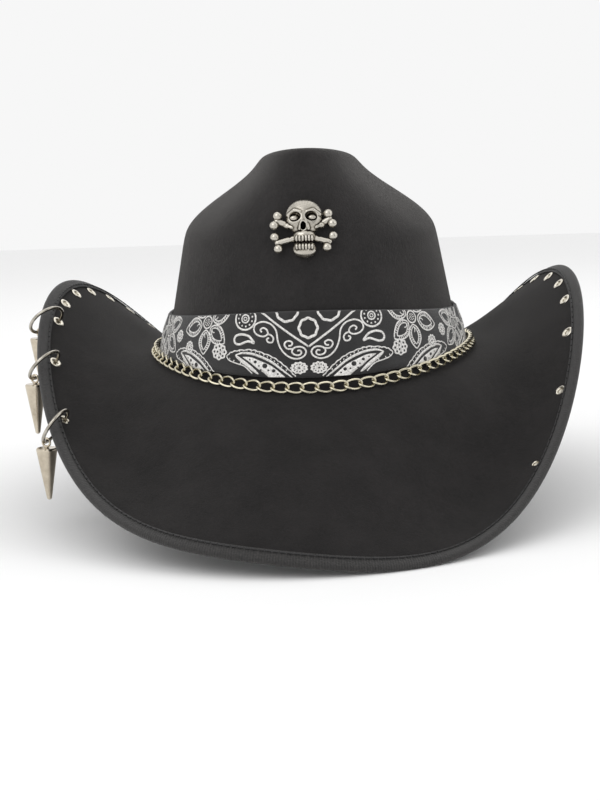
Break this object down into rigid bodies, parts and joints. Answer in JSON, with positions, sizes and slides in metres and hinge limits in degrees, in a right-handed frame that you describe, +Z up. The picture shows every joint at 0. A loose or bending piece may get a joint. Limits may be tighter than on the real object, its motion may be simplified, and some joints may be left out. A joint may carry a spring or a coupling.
{
  "type": "western style felt hat",
  "caption": "Broad-brimmed felt hat with an upswept stitched brim, printed cotton band, curb chain, cast badge, edge eyelets and hanging ring charms.",
  "frame": {"origin": "middle of the bounding box on the surface the hat stands on", "axes": "+Z up, the hat's front faces -Y, +X is to the right of someone who looks at its front"},
  "size_m": [0.3128, 0.3942, 0.1955],
  "materials": {
    "crown_felt": "brushed fur felt",
    "brim_felt": "brushed fur felt",
    "binding": "ribbed binding",
    "wire": "drawn",
    "thread": "polyester thread",
    "sweat_leather": "satin",
    "bandana_cotton": "printed plain weave",
    "chain_metal": "antiqued nickel",
    "badge_metal": "cast, antiqued",
    "plated_steel": "satin",
    "eyelet_metal": "nickel plate",
    "ring_metal": "nickel plate",
    "spike_metal": "nickel plate"
  },
  "bodies": {
    "hat": {"crown": "crown_felt", "brim": "brim_felt", "brim_hem": "binding", "brim_wire": "wire", "hem_stitching": "thread", "sweatband": "sweat_leather", "sweatband_stitching": "thread", "bandana_band": "bandana_cotton", "bandana_lap": "bandana_cotton", "chain_links": "chain_metal", "chain_closing_link": "chain_metal", "skull_badge": "badge_metal", "badge_screw": "plated_steel", "eyelets_spiked_side": "eyelet_metal", "eyelets_plain_side": "eyelet_metal", "ring_eyelets": "eyelet_metal", "eyelet_washers": "eyelet_metal"},
    "ring_1": {"ring_1": "ring_metal"},
    "spike_1": {"spike_eye_1": "spike_metal", "spike_1": "spike_metal"},
    "ring_2": {"ring_2": "ring_metal"},
    "spike_2": {"spike_eye_2": "spike_metal", "spike_2": "spike_metal"},
    "ring_3": {"ring_3": "ring_metal"},
    "spike_3": {"spike_eye_3": "spike_metal", "spike_3": "spike_metal"}
  },
  "joints": [
    {"name": "ring_1_swing", "type": "hinge", "parent": "hat", "child": "ring_1", "pos_m": [-0.12604, -0.08588, 0.05755], "axis": [0.482, -0.3512, 0.8027], "range_deg": [-88, 0]},
    {"name": "spike_1_swing", "type": "hinge", "parent": "ring_1", "child": "spike_1", "pos_m": [-0.13445, -0.09411, 0.04855], "axis": [0.2397, 0.9708, 0], "range_deg": [-35, 45]},
    {"name": "ring_2_swing", "type": "hinge", "parent": "hat", "child": "ring_2", "pos_m": [-0.13728, -0.04659, 0.0835], "axis": [0.5836, -0.3438, 0.7357], "range_deg": [-88, 0]},
    {"name": "spike_2_swing", "type": "hinge", "parent": "ring_2", "child": "spike_2", "pos_m": [-0.14719, -0.05309, 0.0766], "axis": [0.4149, 0.9099, 0], "range_deg": [-35, 45]},
    {"name": "ring_3_swing", "type": "hinge", "parent": "hat", "child": "ring_3", "pos_m": [-0.14132, -0.01137, 0.1025], "axis": [0.6548, -0.2842, 0.7004], "range_deg": [-88, 0]},
    {"name": "spike_3_swing", "type": "hinge", "parent": "ring_3", "child": "spike_3", "pos_m": [-0.15095, -0.01553, 0.09779], "axis": [0.6527, 0.7576, 0], "range_deg": [-35, 45]}
  ]
}
